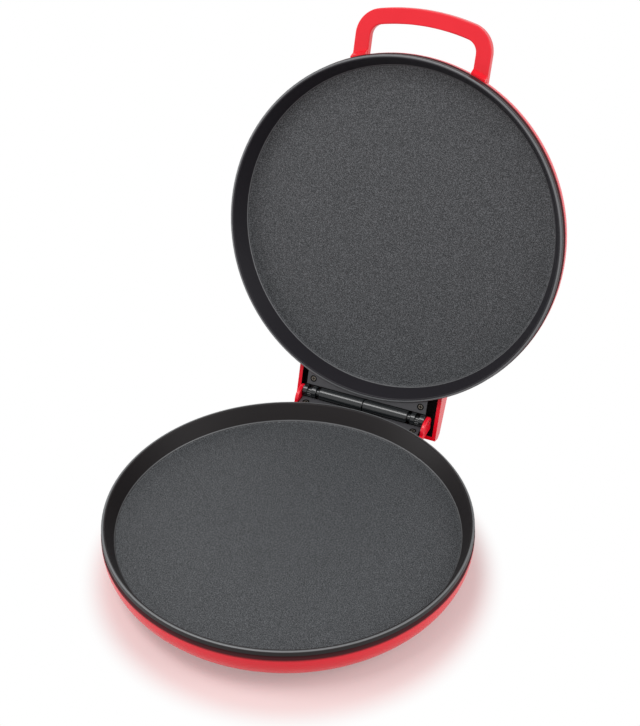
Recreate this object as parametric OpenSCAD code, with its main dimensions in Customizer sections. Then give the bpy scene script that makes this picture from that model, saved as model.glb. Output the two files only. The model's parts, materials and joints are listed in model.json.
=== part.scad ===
// Round countertop cooker: two hinged halves, each a shell with a heated cooking plate.
// Each half is drawn in its own frame: the rim's centre is the origin, +Y points to the hinge
// and +Z points away from the parting plane. The base is that frame turned upside down, and
// the lid is that frame swung open about the hinge.

/* [Cooking plates] */
// Outer radius of both plates at the rim
rim_r = 170; // [165:1:180]
// Width of the flat rim
rim_w = 3.8; // [3.6:0.1:5]
// Height of the skirt that hangs from the rim
rim_skirt = 4.8; // [4:0.1:6]
// Thickness of the skirt
skirt_t = 2; // [1.5:0.1:2.2]
// Radius of the rim's rounded edges
rim_round = 1.2; // [0.6:0.1:1.5]
// Thickness of the plates
plate_t = 2.5; // [2:0.1:2.8]
// Depth of the lower plate's floor below its rim
pan_depth = 17.5; // [14:0.5:24]
// Depth of the upper plate's floor
lid_depth = 18.8; // [14:0.1:24]
// How far the floor ends inside the outer rim
floor_inset = 11.2; // [8:0.1:20]
// Radius of the inside corner between floor and wall
floor_fillet = 3; // [1:0.5:6]
// Space between the two rims when the lid is shut
rim_gap = 0.4; // [0.3:0.1:1]

/* [Shells] */
// How far the shells stand out past the rim
shell_proud = 0.6; // [0.2:0.1:2]
// Radius of the shells' rounded edge
edge_r = 30; // [27:1:34]
// Wall of the shells
shell_wall = 2.5; // [2:0.1:3]
// Space between the rim's skirt and the shell's lip
lip_gap = 0.5; // [0.3:0.1:1]
// Height of the bevel that draws the lip in under the rim
lip_bevel = 3; // [1:0.5:5]
// Space for wiring between heat shield and shell
wiring_room = 7.2; // [6.5:0.1:14]
// Space between the heat shields' edge and the shells
shield_room = 7.7; // [6:0.1:12]
// How far the screw posts stand inside the heat shields' edge
post_inset = 10; // [8:0.5:14]

/* [Heating] */
// How far the heating element's ring lies inside the rim
heater_inset = 60; // [56:1:80]
// Diameter of the heating element's tube
heater_d = 6.6; // [5:0.1:8]
// Angle that the heating element leaves open
heater_open = 50; // [30:1:70]
// Thickness of the clamps that hold the element
clamp_t = 1; // [0.8:0.1:1.5]
// Thickness of the heat shields
reflector_t = 0.8; // [0.6:0.1:1.2]

/* [Hinge] */
// Distance from the rim's centre back to the hinge axis
hinge_gap = 8.8; // [8.6:0.1:12]
// Angle from shut to the open stop
lid_open = 107.4; // [95:0.1:115]
// Radius of the hinge pin
pin_r = 2.5; // [1.5:0.1:3]
// Radial clearance of the pin in the barrels
pin_fit = 0.05; // [0.02:0.01:0.1]
// Radius of the barrels and collars
barrel_r = 6.4; // [5:0.1:6.4]
// Length of each barrel with its neck
barrel_len = 50.3; // [40:0.1:60]
// Gap between the two barrels
barrel_gap = 0.8; // [0.6:0.1:4]
// Length of the slim neck at each barrel's outer end
neck_len = 3.3; // [1:0.1:5]
// Length of each end collar
collar_len = 14.3; // [12:0.1:20]
// Thickness of the ears on the base
ear_t = 3.8; // [3:0.1:6]
// Radius of the ears' rounded edges
ear_edge = 1; // [0.4:0.1:1.3]
// Side clearance between parts along the hinge
side_gap = 0.5; // [0.2:0.1:1]

/* [Hinge box] */
// Gap between an ear and the lid's hinge box
box_gap = 3.2; // [2:0.1:4]
// Wall of the hinge box's sides and back
box_wall = 3.8; // [2.5:0.1:4.5]
// How far the hinge box reaches behind the hinge axis
box_back = 21; // [20:0.5:26]
// Height of the hinge box's lower edge above the parting plane
box_low = 8; // [7:0.1:9]
// Height of the hinge box at its back edge
box_back_h = 20.5; // [19.5:0.5:24]
// Rise of the hinge box's top towards the front, in degrees
box_slope = 9.5; // [6:0.5:12]
// Gap at the open stop
stop_gap = 0.35; // [0.3:0.05:0.6]

/* [Hinge covers] */
// Thickness of the cover plates
cover_t = 2.5; // [2:0.1:3]
// Depth of the base's cover below the parting plane
base_cover_h = 4; // [3.5:0.1:5]
// Height of the lid's cover above the parting plane
lid_cover_h = 2; // [1.5:0.1:2.4]
// Space between the covers' edges and the barrels
cover_fit = 0.6; // [0.4:0.1:1]
// Distance of the cover screws from the covers' ends
cover_screw_inset = 6.4; // [5.9:0.1:16]
// Distance of the cover screws in front of the hinge axis
cover_screw_y = 13.2; // [12.5:0.1:14]

/* [Handle] */
// Half of the handle's outer width
handle_half = 67.6; // [50:0.1:75]
// How far the handle reaches in front of the rim
handle_reach = 41.4; // [30:0.1:50]
// Width of the handle's bar and legs
handle_w = 15; // [10:0.1:16]
// Thickness of the handle
handle_t = 9; // [8:0.5:12]
// Height of the handle's underside above the parting plane
handle_h = 17; // [14:0.5:18]
// Outer radius of the handle's corners
handle_corner = 27; // [22:0.5:32]
// Radius of the handle's rounded edges
handle_edge = 1.2; // [0.8:0.1:3.8]
// Height of the slanted root under each leg
root_drop = 5.5; // [4:0.5:8]
// How far the root stands out past the rim at the leg
root_out = 4.7; // [3.5:0.1:8]
// How far the root stands out at its lower end
root_low = 2.2; // [1.5:0.1:3]

/* [Feet and inlet] */
// Height of the feet
foot_h = 8; // [5:0.5:14]
// Radius of the feet at the floor
foot_r = 11; // [9:0.5:13]
// How far the front feet stand inside the rim
front_foot_inset = 60; // [57:1:85]
// Distance of the rear feet from the centre line
rear_foot_x = 66; // [55:1:68]
// How far the rear feet lie in front of the rim's back
rear_foot_inset = 39; // [38:1:55]
// Bore of the cord bush
gland_bore_r = 3.6; // [2.5:0.1:4.5]
// Direction of the cord bush, in degrees from the right side
gland_angle = 128; // [122:1:140]

/* [Lights] */
// How far the lights lie behind the rim's front
light_inset = 58; // [54:1:80]
// Distance between the two lights
light_pitch = 26; // [20:1:40]
// Radius of each light's lens
light_r = 4; // [3:0.5:6]

/* [Hidden] */

// Fineness of round shapes
$fn = 96;
// Overlap that makes joined or cut shapes meet cleanly
eps = 0.01;
// Clearance between seated pieces of one half
seat = 0.15;
// Radius of the small screws, of their clearance holes and of their heads
screw_r = 1.5;
screw_free = 0.3;
screw_head_r = 3;
screw_head_h = 1.8;
screw_fit = 0.05;
clamp_screw_l = 6;
fuse_screw_l = 5;
shield_screw_l = 8;
cover_screw_l = 8;
terminal_screw_l = 5;
knuckle_screw_l = 6;
carrier_screw_l = 5;
foot_screw_grip = 5;
// Cross recess in a screw's head
recess_w = 0.9;
recess_l = 3.4;
recess_h = 1;

// Stack of one half, counted from the parting plane
rim_top = rim_gap/2;
pan_back = pan_depth + plate_t;
lid_back = lid_depth + plate_t;
function tube_h(back) = back + seat + heater_d/2;
function clamp_h(back) = back + 2*seat + heater_d;
function shield_h(back) = clamp_h(back) + clamp_t + screw_head_h + 1.2;
deep_back = max(pan_back, lid_back);
shell_rise = shield_h(deep_back) + reflector_t + wiring_room + shell_wall;
shell_r = rim_r + shell_proud;
shell_floor = shell_rise - shell_wall;
flat_r = shell_r - edge_r;
inner_edge_r = edge_r - shell_wall;
shield_rise = shield_h(deep_back) + reflector_t - shell_rise + edge_r;
reflector_r = flat_r + sqrt(inner_edge_r*inner_edge_r - shield_rise*shield_rise) - shield_room;
post_ring = reflector_r - post_inset;
heater_r = rim_r - heater_inset;
front_foot_at = (rim_r - front_foot_inset)*sin(45);
rear_foot_y = rim_r - rear_foot_inset;
light_y = rim_r - light_inset;
lip_h = rim_skirt + lip_gap;
rim_z = shell_rise + foot_h;

// Hinge places
hinge_back = rim_r + hinge_gap;
barrel_x0 = barrel_gap/2;
barrel_x1 = barrel_x0 + barrel_len;
collar_x0 = barrel_x1 + side_gap;
collar_x1 = collar_x0 + collar_len;
ear_x0 = collar_x1 + side_gap;
ear_x1 = ear_x0 + ear_t;
box_x0 = ear_x1 + box_gap;
box_x1 = box_x0 + box_wall;
box_end = hinge_back + box_back;
cover_x = collar_x1 - 1.1;
cover_screw_x = cover_x - cover_screw_inset;
cover_edge = hinge_back - 4.5;
trough_front = hinge_back - barrel_r - 1.3;
cover_rim_r = rim_r + 0.4;
stop_y = hinge_back + box_back*cos(lid_open) + box_low*sin(lid_open) - stop_gap;
trough_h = barrel_r + 3.1;
housing_h = 30;
housing_bevel = 4.5;
housing_rise = 8;
housing_half = cover_screw_x + 4.5;
tray_h = trough_h + 3.2;
box_front = rim_r - 42;
cover_screw_back = hinge_back - cover_screw_y;

// Handle places
handle_out = rim_r + handle_reach;
handle_mid = handle_out - handle_w/2;
corner_ring = handle_out - handle_corner;
corner_x = handle_half - handle_corner;
corner_y = sqrt(corner_ring*corner_ring - corner_x*corner_x);
corner_turn = asin(corner_x/corner_ring);
leg_x = handle_half - handle_w/2;
handle_top = handle_h + handle_t;

// The frame's origin lies under the middle of the open cooker's outline
rear_reach = hinge_back
  + (-(handle_out - handle_edge) - hinge_back)*cos(lid_open)
  + (handle_top - handle_edge)*sin(lid_open) + handle_edge;
base_y = (shell_r - rear_reach)/2;

// Post, boss and screw places around each half
post_angles = [28, 152, 208, 332];
post_r = 5.5;
post_foot_r = 7.5;
boss_r = 4.5;
boss_drop = 5;
clamp_angles = [20, 200, 290];
clamp_boss_in = 9;
clamp_boss_r = 3.4;
clamp_w = 10;
heater_mid = 115;

red = [0.86, 0.13, 0.18];
dark = [0.15, 0.15, 0.16];
grey = [0.25, 0.25, 0.26];
metal = [0.72, 0.72, 0.74];
shade = [0.10, 0.10, 0.11];
cream = [0.90, 0.87, 0.78];

module in_base() {
  translate([0, base_y, rim_z]) mirror([0, 0, 1]) children();
}

module in_lid() {
  translate([0, base_y + hinge_back, rim_z])
    rotate([-lid_open, 0, 0])
      translate([0, -hinge_back, 0]) children();
}

module at_polar(angle, radius) {
  rotate([0, 0, angle]) translate([radius, 0, 0]) children();
}

module both_sides() {
  children();
  mirror([1, 0, 0]) children();
}

// Extrudes a (y, z) outline along X
module along_x(x0, x1) {
  translate([x0, 0, 0]) rotate([90, 0, 90]) linear_extrude(x1 - x0) children();
}

// Outline of a half's outer form, drawn in by an inset
module half_section(inset) {
  r = shell_r - inset;
  h = shell_rise - inset;
  c = edge_r - inset;
  square([r - c, h]);
  square([r, h - c]);
  intersection() {
    translate([r - c, h - c]) circle(c);
    translate([r - c - eps, h - c - eps]) square([c + 1, c + 1]);
  }
}

module half_solid(inset) {
  rotate_extrude() half_section(inset);
}

// Round plates: floor, sloping wall, flat rim and skirt in one casting
function corner(cx, cz, r, from, to, steps = 8) =
  [for (i = [0:steps]) let (a = from + (to - from)*i/steps) [cx + r*cos(a), cz + r*sin(a)]];

module plate_section(depth) {
  wall_r = rim_r - rim_w;
  floor_r = rim_r - floor_inset;
  back = depth + plate_t;
  top = rim_top + rim_round;
  turn = atan2(floor_inset - rim_w, depth);
  fillet_x = floor_r - floor_fillet*tan(45 - turn/2);
  wall_out = wall_r + plate_t/cos(turn);
  meet_h = max(rim_top + plate_t, (wall_out - rim_r + skirt_t)/tan(turn) + 0.1);
  polygon(concat(
    [[0, depth]],
    corner(fillet_x, depth - floor_fillet, floor_fillet, 90, turn),
    corner(wall_r + rim_round, top, rim_round, 180 + turn, 270),
    corner(rim_r - rim_round, top, rim_round, 270, 360),
    [
      [rim_r, rim_skirt],
      [rim_r - skirt_t, rim_skirt],
      [rim_r - skirt_t, meet_h],
      [wall_out - meet_h*tan(turn), meet_h],
      [wall_out - (back - plate_t)*tan(turn), back - plate_t],
      [floor_r - plate_t, back],
      [0, back]
    ]
  ));
}

module cooking_plate(depth) {
  back = depth + plate_t;
  difference() {
    union() {
      rotate_extrude() plate_section(depth);
      for (a = post_angles)
        at_polar(a, post_ring) translate([0, 0, back - eps]) cylinder(r = boss_r, h = boss_drop);
      for (a = clamp_angles)
        at_polar(a, heater_r - clamp_boss_in)
          translate([0, 0, back - eps]) cylinder(r = clamp_boss_r, h = heater_d + seat);
    }
    for (a = post_angles)
      at_polar(a, post_ring) translate([0, 0, back - 0.5])
        cylinder(r = screw_r + screw_fit, h = boss_drop + 1);
    for (a = clamp_angles)
      at_polar(a, heater_r - clamp_boss_in) translate([0, 0, back - 0.5])
        cylinder(r = screw_r + screw_fit, h = heater_d + 1);
  }
}

// Screw that points along +Z, with the underside of its head at z = 0
module screw(length, head_h = screw_head_h) {
  difference() {
    union() {
      translate([0, 0, -head_h]) cylinder(r = screw_head_r, h = head_h);
      translate([0, 0, -eps]) cylinder(r = screw_r, h = length);
    }
    for (turn = [0, 90])
      rotate([0, 0, turn]) translate([-recess_l/2, -recess_w/2, -head_h - eps])
        cube([recess_l, recess_w, recess_h]);
  }
}

// Screw driven from above, with the underside of its head at z = 0
module screw_down(length, head_h = screw_head_h) {
  mirror([0, 0, 1]) screw(length, head_h);
}

// Length of the thin terminal pins at the heating element's ends
cold_pin = 10;

module heater(back) {
  start = heater_mid + heater_open/2;
  sweep = 360 - heater_open;
  translate([0, 0, tube_h(back)]) {
    rotate([0, 0, start]) rotate_extrude(angle = sweep)
      translate([heater_r, 0]) circle(heater_d/2);
    for (end = [[start, 90], [start + sweep, -90]])
      at_polar(end[0], heater_r) rotate([end[1], 0, 0]) {
        translate([0, 0, -eps]) cylinder(r = heater_d/2 - 0.4, h = 3);
        cylinder(r = 1.3, h = cold_pin);
      }
  }
}

module heater_clamps(back) {
  for (a = clamp_angles)
    at_polar(a, heater_r)
      difference() {
        translate([-clamp_boss_in - 4, -clamp_w/2, clamp_h(back)])
          cube([clamp_boss_in + 4 + heater_d/2 + 2, clamp_w, clamp_t]);
        translate([-clamp_boss_in, 0, back]) cylinder(r = screw_r + screw_free, h = 20);
      }
}

module clamp_screws(back) {
  for (a = clamp_angles)
    at_polar(a, heater_r - clamp_boss_in)
      translate([0, 0, clamp_h(back) + clamp_t + seat]) screw_down(clamp_screw_l);
}

module wire_hole(back) {
  at_polar(heater_mid, heater_r) translate([0, 0, shield_h(back) - 1])
    cylinder(r = wire_hole_r, h = reflector_t + 2);
}

wire_hole_r = 9;

module reflector(back, hole_r) {
  difference() {
    union() {
      translate([0, 0, shield_h(back)]) cylinder(r = reflector_r, h = reflector_t);
      translate([0, 0, shield_h(back) - 3]) difference() {
        cylinder(r = reflector_r, h = 3 + eps);
        translate([0, 0, -eps]) cylinder(r = reflector_r - reflector_t, h = 3 + eps);
      }
    }
    for (a = post_angles)
      at_polar(a, post_ring) translate([0, 0, shield_h(back) - 1])
        cylinder(r = hole_r, h = reflector_t + 2);
    wire_hole(back);
  }
}

// One half's bare shell
module shell_form() {
  rotate_extrude() difference() {
    half_section(0);
    half_section(shell_wall);
    translate([0, -1]) square([shell_r + 2, lip_h + 1]);
    polygon([
      [shell_r - lip_bevel*0.8, lip_h - eps],
      [shell_r + 1, lip_h - eps],
      [shell_r + 1, lip_h + lip_bevel*1.4],
      [shell_r, lip_h + lip_bevel]
    ]);
  }
}

// Round disc along X with rounded edges
module ear_disc(y, h, r) {
  translate([ear_x0, y, h]) rotate([0, 90, 0]) rotate_extrude() {
    square([r - ear_edge, ear_t]);
    translate([0, ear_edge]) square([r, ear_t - 2*ear_edge]);
    for (x = [ear_edge, ear_t - ear_edge])
      translate([r - ear_edge, x]) circle(ear_edge);
  }
}

ear_top = 4.7;
ear_low = 10.6;
ear_r = 6;
brow_r = 11;
brow_back = 5;
ear_root = 26;

// Arm that grows out of the shell and holds one end of the hinge pin
module ear() {
  intersection() {
    union() {
      ear_disc(hinge_back + 1, ear_r - ear_top, ear_r);
      ear_disc(hinge_back - brow_back, brow_r - ear_top, brow_r);
      translate([0, hinge_back + 1, 0]) rotate([90, 0, 0]) linear_extrude(brow_back + 1) {
        translate([ear_x0, ear_edge - ear_top]) square([ear_t, ear_low + ear_top]);
        translate([ear_x0 + ear_edge, -ear_top]) square([ear_t - 2*ear_edge, ear_low]);
        for (x = [ear_x0 + ear_edge, ear_x1 - ear_edge])
          translate([x, ear_edge - ear_top]) circle(ear_edge);
      }
      along_x(ear_x0, ear_x1)
        translate([hinge_back - ear_root, lip_h + 0.6]) square([ear_root - brow_back, ear_low]);
    }
    along_x(ear_x0 - 1, ear_x1 + 1)
      translate([hinge_back - ear_root, -ear_low]) square([2*ear_root, 2*ear_low]);
  }
}

module housing_outline(inset) {
  front_h = base_cover_h + cover_t + seat + inset;
  polygon([
    [box_front, front_h],
    [trough_front - inset, front_h],
    [trough_front - inset, trough_h + inset],
    [stop_y - inset, trough_h + inset],
    [stop_y - inset, housing_h - housing_bevel - inset/2],
    [stop_y - housing_bevel - inset/2, housing_h - inset],
    [box_front, housing_h + housing_rise - inset]
  ]);
}

module foot_places() {
  both_sides() translate([front_foot_at, -front_foot_at, 0]) children();
  both_sides() translate([rear_foot_x, rear_foot_y, 0]) children();
}

gland_h = 21;
gland_boss_r = 9;
gland_seat_r = 5.6;
gland_boss_out = 2.4;

module gland_axis() {
  at_polar(gland_angle, shell_r + gland_boss_out) translate([0, 0, gland_h])
    rotate([0, -90, 0]) children();
}

block_angle = 128;
block_ring = rim_r - 58;
block_l = 30;
block_w = 14;
block_h = 6.2;
tab_l = 9;
tab_t = 2;
tab_drop = 4.2;

module at_block() {
  at_polar(block_angle, block_ring) translate([0, 0, shell_floor]) children();
}

module base_shell() {
  color(red) in_base() difference() {
    union() {
      shell_form();
      difference() {
        union() {
          both_sides() ear();
          along_x(-housing_half, housing_half) housing_outline(0);
          // Tray under the cover plate, between the ears
          along_x(-ear_x0 - eps, ear_x0 + eps) intersection() {
            housing_outline(0);
            translate([box_front, 0]) square([2*box_back + rim_r - box_front, tray_h]);
          }
        }
        half_solid(shell_wall);
      }
      // Posts that carry the heat shield and the cooking plate
      for (a = post_angles)
        at_polar(a, post_ring) intersection() {
          union() {
            translate([0, 0, pan_back + boss_drop + seat])
              cylinder(r = post_r, h = shell_rise - pan_back - boss_drop - seat - 1);
            translate([0, 0, shield_h(pan_back) + reflector_t + seat])
              cylinder(r = post_foot_r, h = shell_rise - shield_h(pan_back) - reflector_t - 1);
          }
          at_polar(0, -post_ring) half_solid(1);
        }
      // Pads over the feet
      foot_places() translate([0, 0, shell_rise - 9]) cylinder(r = foot_r + 1, h = 9);
      // Boss round the cord's way in
      intersection() {
        gland_axis() cylinder(r = gland_boss_r, h = 8);
        half_solid(-gland_boss_out);
      }
      // Boss under the terminal block's tab
      at_block() translate([block_l/2 + tab_l/2, 0, -tab_drop]) cylinder(r = 3.5, h = tab_drop + 0.8);
    }
    // Hollow of the hinge housing, open to the inside of the shell
    difference() {
      along_x(-housing_half + shell_wall, housing_half - shell_wall) housing_outline(shell_wall);
      both_sides() translate([cover_screw_x, cover_screw_back, base_cover_h])
        cylinder(r = 4, h = 15);
    }
    // Pin holes in the ears
    translate([-ear_x1 - 1, hinge_back, 0]) rotate([0, 90, 0])
      cylinder(r = pin_r + screw_fit, h = 2*ear_x1 + 2);
    // Screw holes
    both_sides() translate([cover_screw_x, cover_screw_back, base_cover_h])
      cylinder(r = screw_r + screw_fit, h = cover_t + 11);
    for (a = post_angles)
      at_polar(a, post_ring) {
        translate([0, 0, pan_back]) cylinder(r = screw_r + screw_free, h = 40);
        translate([0, 0, shell_rise - post_pocket]) cylinder(r = screw_head_r + 1, h = 20);
      }
    foot_places() translate([0, 0, shell_rise - 7]) cylinder(r = screw_r + screw_fit, h = 20);
    at_block() translate([block_l/2 + tab_l/2, 0, -5]) cylinder(r = screw_r + screw_fit, h = 4.4);
    gland_axis() translate([0, 0, -1]) cylinder(r = gland_seat_r + seat, h = 12);
    // Sockets for the collars' pegs
    both_sides() translate([peg_x, peg_y, trough_h - 1]) cylinder(r = peg_r + seat, h = 6);
  }
}

post_pocket = 9;
peg_x = (collar_x0 + collar_x1)/2;
peg_y = hinge_back - 1.9;
peg_r = 1.9;

module base_pan() {
  color(dark) in_base() difference() {
    union() {
      cooking_plate(pan_depth);
      thermostat_places() cylinder(r = clamp_boss_r, h = sensor_boss);
      fuse_place() cylinder(r = clamp_boss_r, h = sensor_boss);
    }
    thermostat_places() translate([0, 0, -0.5]) cylinder(r = screw_r + screw_fit, h = 9);
    fuse_place() translate([0, 0, -0.5]) cylinder(r = screw_r + screw_fit, h = 9);
  }
}

sensor_boss = 5.5;
thermostat_x = 34;
thermostat_y = heater_r - 52;
thermostat_r = 8.5;
thermostat_pitch = 25;
fuse_x = -30;
fuse_y = heater_r - 48;
fuse_r = 2.4;
fuse_len = 16;
fuse_strap_t = 0.8;

module thermostat_places() {
  for (side = [-1, 1])
    translate([thermostat_x + side*thermostat_pitch/2, thermostat_y, pan_back - eps]) children();
}

module fuse_place() {
  translate([fuse_x, fuse_y - fuse_r - 6, pan_back - eps]) children();
}

module base_heater() {
  color(metal) in_base() heater(pan_back);
}

module base_heater_clamps() {
  color(metal) in_base() heater_clamps(pan_back);
}

module base_clamp_screws() {
  color(metal) in_base() {
    clamp_screws(pan_back);
    thermostat_places()
      translate([0, 0, sensor_boss + tab_t + 2*seat]) screw_down(clamp_screw_l);
    fuse_place() translate([0, 0, sensor_boss + fuse_strap_t + 2*seat]) screw_down(fuse_screw_l);
  }
}

module base_reflector() {
  color(metal) in_base() reflector(pan_back, post_r + 0.3);
}

module base_pan_screws() {
  color(metal) in_base() for (a = post_angles)
    at_polar(a, post_ring)
      translate([0, 0, shell_rise - post_pocket + seat])
        screw_down(shell_rise - post_pocket - pan_back + seat);
}

module base_feet() {
  color(shade) in_base() foot_places() difference() {
    union() {
      translate([0, 0, shell_rise + seat]) cylinder(r1 = foot_r - 1, r2 = foot_r, h = 2);
      translate([0, 0, shell_rise + seat + 2 - eps]) cylinder(r = foot_r, h = foot_h - seat - 2);
    }
    translate([0, 0, shell_rise - 1]) cylinder(r = screw_r + screw_free, h = 20);
    translate([0, 0, shell_rise + foot_h/2]) cylinder(r = screw_head_r + 0.6, h = 20);
  }
}

module foot_screws() {
  color(metal) in_base() foot_places()
    translate([0, 0, shell_rise + foot_h/2 + seat]) screw_down(foot_h/2 + foot_screw_grip);
}

module thermostat() {
  color(cream) in_base() {
    difference() {
      translate([thermostat_x, thermostat_y, 0]) {
        translate([0, 0, pan_back + seat]) cylinder(r = thermostat_r, h = 9);
        translate([-thermostat_pitch/2 - 4, -4, pan_back + sensor_boss + seat])
          cube([thermostat_pitch + 8, 8, tab_t]);
        for (side = [-1, 1])
          translate([side*4 - 0.4, -2.5, pan_back + seat + 9 - eps]) cube([0.8, 5, 1.4]);
      }
      thermostat_places() cylinder(r = screw_r + screw_free, h = 20);
    }
  }
}

module sensor_fuse() {
  translate([fuse_x - fuse_len/2, fuse_y, pan_back + seat + fuse_r]) rotate([0, 90, 0]) {
    cylinder(r = fuse_r, h = fuse_len);
    translate([0, 0, -5]) cylinder(r = 0.6, h = fuse_len + 10);
  }
  difference() {
    union() {
      translate([fuse_x - 3, fuse_y - fuse_r - 9, pan_back + sensor_boss + seat])
        cube([6, fuse_r + 10, fuse_strap_t]);
      translate([fuse_x - 3, fuse_y - 1, pan_back + 2*fuse_r])
        cube([6, 2, sensor_boss - 2*fuse_r + seat + 0.5]);
    }
    fuse_place() cylinder(r = screw_r + screw_free, h = 20);
  }
}

module base_thermal_fuse() {
  color(cream) in_base() sensor_fuse();
}

module terminal_block() {
  color(cream) in_base() at_block() difference() {
    union() {
      translate([-block_l/2, -block_w/2, -block_h - seat]) cube([block_l, block_w, block_h]);
      translate([block_l/2 - eps, -block_w/4, -tab_drop - tab_t - seat])
        cube([tab_l, block_w/2, tab_t]);
    }
    translate([block_l/2 + tab_l/2, 0, -10]) cylinder(r = screw_r + screw_free, h = 10);
    for (i = [-1, 0, 1])
      translate([i*9, -block_w/2 - 1, -block_h/2 - seat]) rotate([-90, 0, 0])
        cylinder(r = lead_r + seat, h = 7);
  }
}

lead_r = 1.2;

module terminal_screw() {
  color(metal) in_base() at_block()
    translate([block_l/2 + tab_l/2, 0, -tab_drop - tab_t - 2*seat]) screw(terminal_screw_l);
}

// Insulated wire along a list of points
module lead(points) {
  for (i = [0:len(points) - 2])
    hull() {
      translate(points[i]) sphere(r = lead_r, $fn = 10);
      translate(points[i + 1]) sphere(r = lead_r, $fn = 10);
    }
}

function polar(angle, radius, h) = [radius*cos(angle), radius*sin(angle), h];

module base_leads() {
  start = heater_mid + heater_open/2;
  stop = heater_mid - heater_open/2;
  mid_h = shell_floor - seat - block_h/2;
  tail_h = tube_h(pan_back);
  pin_turn = atan(cold_pin/heater_r);
  color("white") in_base() {
    lead([
      polar(start - pin_turn - 1, heater_r, tail_h),
      polar(heater_mid + 3, heater_r + 2, tail_h + 2),
      polar(heater_mid + 3, heater_r + 2, shield_h(pan_back) + reflector_t + 2.4),
      polar(heater_mid + 2, heater_r - 12, mid_h)
    ]);
    lead([
      polar(stop + pin_turn + 1, heater_r, tail_h),
      polar(heater_mid - 3, heater_r + 2, tail_h + 2),
      polar(heater_mid - 3, heater_r + 2, shield_h(pan_back) + reflector_t + 2.4),
      polar(heater_mid - 2, heater_r - 12, mid_h)
    ]);
  }
}

module cord_gland() {
  color(shade) in_base() gland_axis() difference() {
    union() {
      translate([0, 0, -3 - seat]) cylinder(r = gland_boss_r - 1, h = 3);
      translate([0, 0, -3]) cylinder(r = gland_seat_r, h = 12.4);
    }
    translate([0, 0, -5]) cylinder(r = gland_bore_r, h = 30);
  }
}

cover_recess = 1.6;
cover_head_h = 1.2;

module cover_outline() {
  difference() {
    translate([-cover_x, box_front]) square([2*cover_x, cover_edge - box_front]);
    circle(cover_rim_r, $fn = 360);
  }
}

module hinge_cover(h) {
  difference() {
    children();
    translate([-cover_x - 1, hinge_back, 0]) rotate([0, 90, 0])
      cylinder(r = barrel_r + cover_fit, h = 2*cover_x + 2);
    both_sides() translate([cover_screw_x, cover_screw_back, h - eps]) {
      cylinder(r = screw_r + screw_free, h = cover_t + 1);
      cylinder(r = screw_head_r + 0.5, h = cover_recess);
    }
  }
}

module cover_screws(h) {
  both_sides() translate([cover_screw_x, cover_screw_back, h + cover_recess - seat])
    screw(cover_screw_l, cover_head_h);
}

// Thin rib along the cover's back edge, a little higher in front of the collars
lip_w = 0.8;
lip_rise = 0.5;
collar_lip = 0.9;

module base_hinge_cover() {
  lip_y = hinge_back - sqrt(pow(barrel_r + cover_fit, 2) - pow(base_cover_h, 2)) - lip_w;
  color(grey) in_base() hinge_cover(base_cover_h) {
    translate([0, 0, base_cover_h]) linear_extrude(cover_t) cover_outline();
    translate([-cover_x, lip_y, base_cover_h - lip_rise]) cube([2*cover_x, 2*lip_w, lip_rise + 1]);
    both_sides() translate([collar_x0, lip_y, base_cover_h - collar_lip])
      cube([cover_x - collar_x0, 2*lip_w, collar_lip + 1]);
  }
}

module base_hinge_screws() {
  color(metal) in_base() cover_screws(base_cover_h);
}

module hinge_pin() {
  color(metal) in_base() translate([-ear_x1 + side_gap, hinge_back, 0]) rotate([0, 90, 0])
    cylinder(r = pin_r, h = 2*(ear_x1 - side_gap));
}

// Barrel along X with bevelled ends
module barrel(x0, length) {
  bevel = 0.5;
  translate([x0, hinge_back, 0]) rotate([0, 90, 0]) {
    cylinder(r1 = barrel_r - bevel, r2 = barrel_r, h = bevel);
    translate([0, 0, bevel - eps]) cylinder(r = barrel_r, h = length - 2*bevel + 2*eps);
    translate([0, 0, length - bevel]) cylinder(r1 = barrel_r, r2 = barrel_r - bevel, h = bevel);
  }
}

ring_w = 4.6;
waist_r = barrel_r - 0.7;
slot_from = 45;
slot_to = 195;
flutes = [32, 10, -14];

module collar() {
  reach = 2*barrel_r;
  difference() {
    union() {
      barrel(collar_x0, collar_len);
      translate([peg_x, peg_y, 0]) cylinder(r = peg_r, h = trough_h + 3);
      translate([peg_x - 4, peg_y - 2.2, 3]) cube([8, 4.4, trough_h - 3 - seat]);
    }
    translate([collar_x0 - 1, hinge_back, 0]) rotate([0, 90, 0])
      cylinder(r = pin_r + pin_fit, h = collar_len + 2);
    // Waist between the rings, open at the top and back and fluted at the front
    along_x(collar_x0 + ring_w, collar_x1 - ring_w) translate([hinge_back, 0]) {
      difference() {
        circle(reach);
        circle(waist_r);
        translate([-reach, barrel_r - 3.4]) square([2*reach, reach]);
      }
      difference() {
        polygon([
          [0, 0],
          [-reach*cos(slot_from), -reach*sin(slot_from)],
          [0, -2*reach],
          [2*reach, -2*reach],
          [-reach*cos(slot_to), -reach*sin(slot_to)]
        ]);
        circle(pin_r + 1.2);
      }
      for (a = flutes)
        translate([-(waist_r + 0.3)*cos(a), -(waist_r + 0.3)*sin(a)]) circle(0.9);
    }
  }
}

module hinge_collar_right() {
  color(shade) in_base() collar();
}

module hinge_collar_left() {
  color(shade) in_base() mirror([1, 0, 0]) collar();
}

// Side view of the lid's hinge box
module box_outline(inset) {
  rise = tan(box_slope);
  ridge = box_end - 4.8;
  polygon([
    [box_front - 1, box_low - inset],
    [box_end - inset, box_low - inset],
    [box_end - inset, box_back_h - 4.5 - inset/2],
    [ridge - inset/2, box_back_h - inset],
    [box_front - 1, box_back_h + (ridge - box_front + 1)*rise - inset]
  ]);
}

// Leaf and foot that fix a barrel in the hinge box
leaf_t = 3.6;
leaf_inset = 5;
foot_top = 15.6;
foot_t = 2.4;
foot_reach = 11.8;
foot_x = [barrel_x0 + 13, barrel_x1 - 13];
foot_y = hinge_back + foot_reach - 4.8;

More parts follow.
